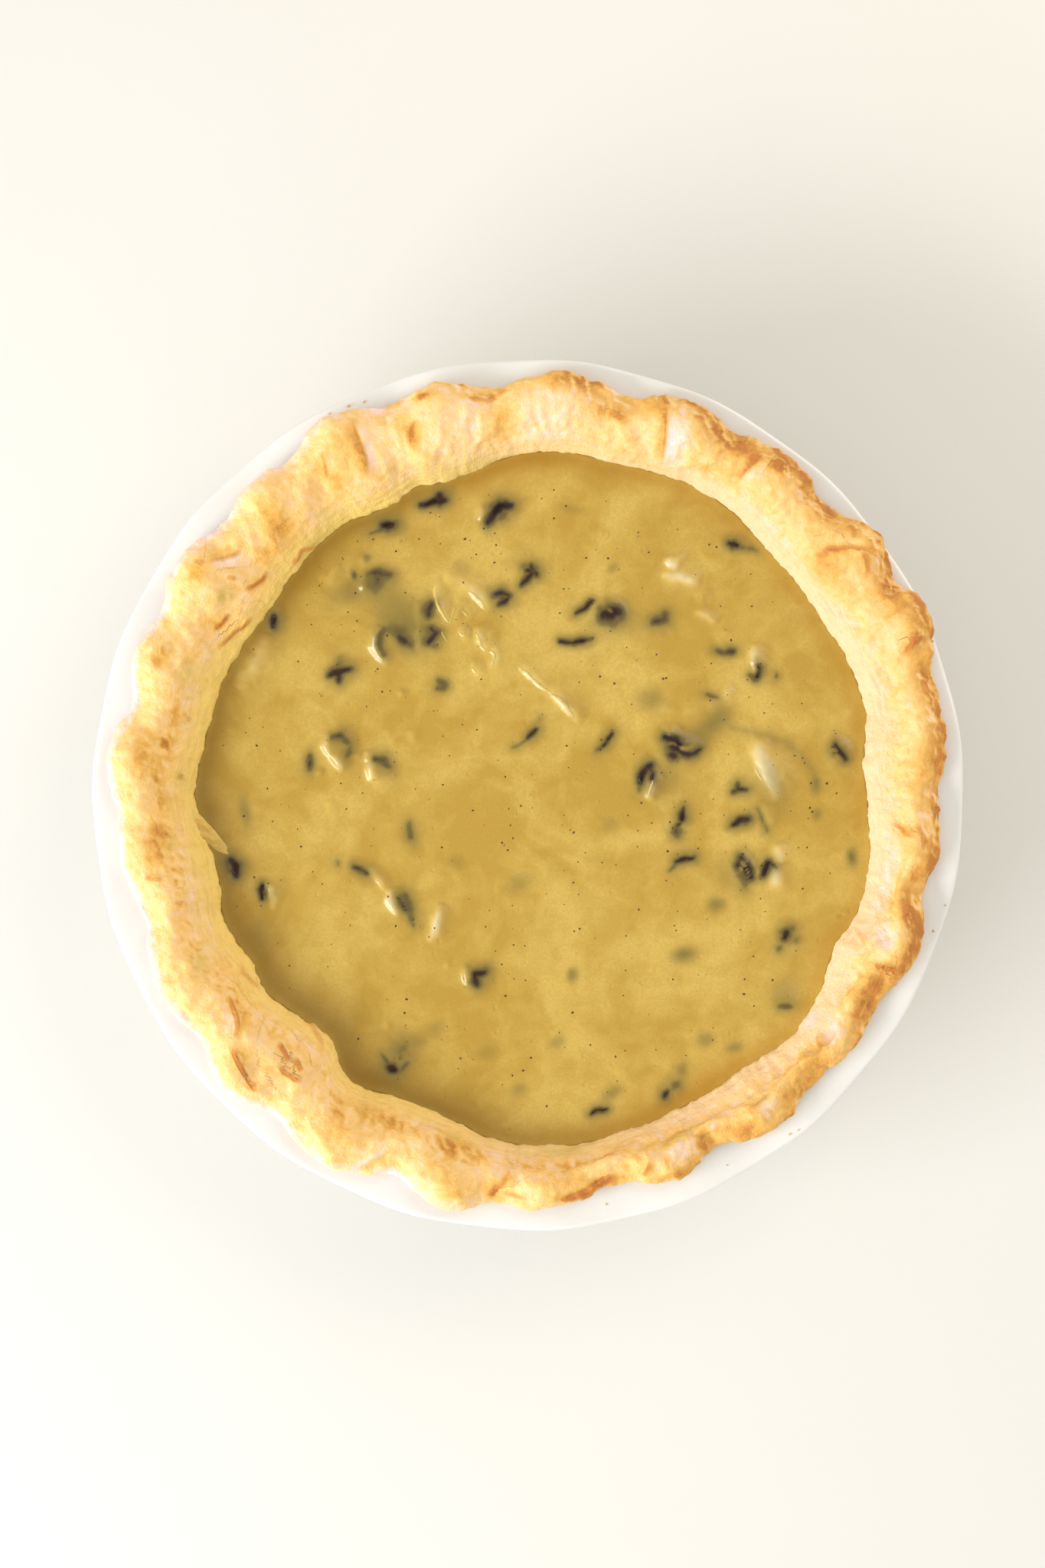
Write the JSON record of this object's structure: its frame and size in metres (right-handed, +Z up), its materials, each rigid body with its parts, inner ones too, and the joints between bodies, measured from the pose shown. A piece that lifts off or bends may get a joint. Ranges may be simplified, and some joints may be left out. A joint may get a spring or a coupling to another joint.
{
  "type": "sour cream raisin pie",
  "caption": "Round open pie in its ceramic dish: hand-crimped pastry rim, smooth yellow custard filling and dark raisins showing at its surface.",
  "frame": {"origin": "middle of the underside of the pie dish", "axes": "+Z up through the open top of the pie; +X and +Y level, as right and up in a view from above"},
  "size_m": [0.264, 0.264, 0.0502],
  "materials": {
    "glazed_dish": "gloss white glaze",
    "pastry": "baked flaky pastry, matte with a faint sheen",
    "custard": "smooth set custard, satin gloss",
    "raisin": "plumped dark raisin, wet gloss"
  },
  "bodies": {
    "root": {"pie_dish": "glazed_dish", "crust": "pastry", "filling": "custard", "raisin_01": "raisin", "raisin_02": "raisin", "raisin_03": "raisin", "raisin_04": "raisin", "raisin_05": "raisin", "raisin_06": "raisin", "raisin_07": "raisin", "raisin_08": "raisin", "raisin_09": "raisin", "raisin_10": "raisin", "raisin_11": "raisin", "raisin_12": "raisin", "raisin_13": "raisin", "raisin_14": "raisin", "raisin_15": "raisin", "raisin_16": "raisin", "raisin_17": "raisin", "raisin_18": "raisin", "raisin_19": "raisin", "raisin_20": "raisin", "raisin_21": "raisin", "raisin_22": "raisin", "raisin_23": "raisin", "raisin_24": "raisin", "raisin_25": "raisin", "raisin_26": "raisin", "raisin_27": "raisin", "raisin_28": "raisin", "raisin_29": "raisin", "raisin_30": "raisin", "raisin_31": "raisin", "raisin_32": "raisin", "raisin_33": "raisin"}
  },
  "joints": []
}
